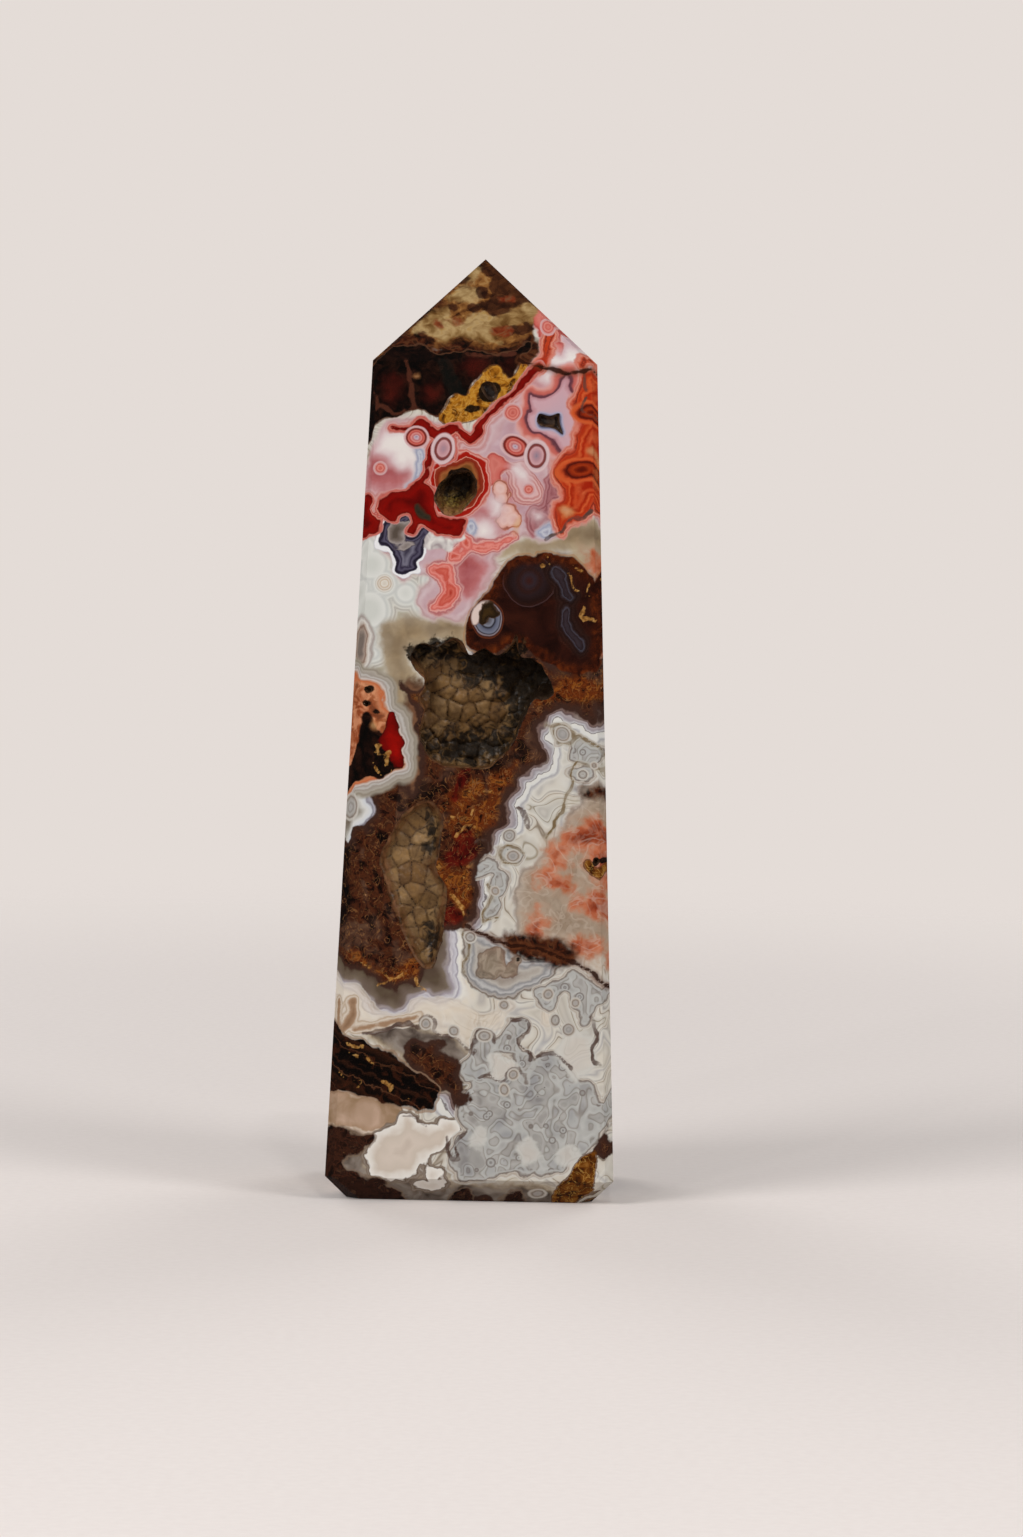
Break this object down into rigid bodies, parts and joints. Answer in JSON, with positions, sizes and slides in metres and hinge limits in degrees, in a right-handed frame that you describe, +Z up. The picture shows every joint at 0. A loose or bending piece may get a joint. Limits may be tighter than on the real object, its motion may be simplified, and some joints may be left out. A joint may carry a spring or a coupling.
{
  "type": "crazy lace agate tower",
  "caption": "Polished stone tower: a tapering four-sided column with bevelled edges, a pyramid point, a chamfered flat foot and crystal-lined hollows in its front face.",
  "frame": {"origin": "middle of the flat foot", "axes": "+Z up the tower to its point, with the face that has the hollows towards -Y"},
  "size_m": [0.0288, 0.0266, 0.0945],
  "materials": {
    "agate": "mirror-polished opaque banded agate",
    "vug_crystals": "natural sparkling crystal faces, iron-stained"
  },
  "bodies": {
    "root": {"agate_tower": "agate", "main_vug_crystals": "vug_crystals", "upper_vug_crystals": "vug_crystals", "lower_channel_crystals": "vug_crystals"}
  },
  "joints": []
}
